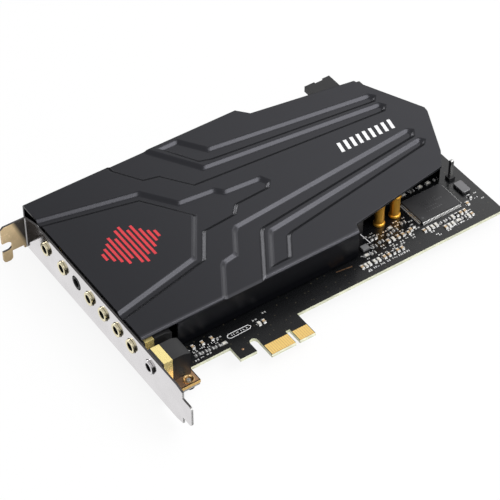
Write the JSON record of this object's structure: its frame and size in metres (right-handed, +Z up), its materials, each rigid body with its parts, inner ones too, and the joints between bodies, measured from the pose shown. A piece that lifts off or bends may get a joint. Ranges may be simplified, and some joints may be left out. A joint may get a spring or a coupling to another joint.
{
  "type": "sound card",
  "caption": "Half-length sound card for a computer slot: flat board with edge connector, metal bracket with a row of jacks, and an embossed charcoal cover.",
  "frame": {"origin": "under the middle of the card's box, at its lowest point", "axes": "+X from the bracket to the tail, +Y from the edge connector to the card's top edge, +Z up out of the component side"},
  "size_m": [0.1814, 0.1252, 0.0218],
  "materials": {
    "board": "black solder mask on glass laminate",
    "cover": "charcoal satin coating",
    "bracket": "bright nickel plate",
    "gold_plate": "polished gold plate",
    "brass": "plain brass",
    "steel": "zinc plated",
    "tin": "matte tin plate",
    "can": "satin can",
    "gold_sleeve": "gold film sleeve",
    "ceramic": "fired ceramic",
    "chip": "moulded epoxy",
    "black_plastic": "moulded nylon"
  },
  "bodies": {
    "root": {"audio_processor": "chip", "audio_processor_leads": "tin", "board": "board", "bracket": "bracket", "bracket_screws": "steel", "chip_capacitors": "ceramic", "chip_resistors": "chip", "choke": "can", "cover": "cover", "cover_posts": "steel", "cover_screws": "steel", "crystal": "can", "digital_jack": "black_plastic", "edge_contacts_component": "gold_plate", "edge_contacts_solder": "gold_plate", "filter_capacitor_1": "can", "filter_capacitor_2": "can", "gold_capacitor_1": "gold_sleeve", "gold_capacitor_2": "gold_sleeve", "input_converter": "chip", "jack_1_body": "black_plastic", "jack_1_shell": "gold_plate", "jack_2_body": "black_plastic", "jack_2_shell": "gold_plate", "jack_4_body": "black_plastic", "jack_4_shell": "gold_plate", "jack_5_body": "black_plastic", "jack_5_shell": "gold_plate", "jack_6_body": "black_plastic", "jack_6_shell": "gold_plate", "jack_7_body": "black_plastic", "jack_7_shell": "gold_plate", "jack_8_body": "black_plastic", "jack_8_shell": "gold_plate", "jack_pins": "steel", "line_amplifier_1": "chip", "line_amplifier_2": "chip", "line_amplifier_3": "chip", "line_amplifier_4": "chip", "lower_insert": "brass", "output_converter": "chip", "power_header": "black_plastic", "power_header_pins": "steel", "regulator_1": "chip", "regulator_2": "chip", "tail_post": "brass", "tail_post_base": "black_plastic", "upper_insert": "brass"}
  },
  "joints": []
}
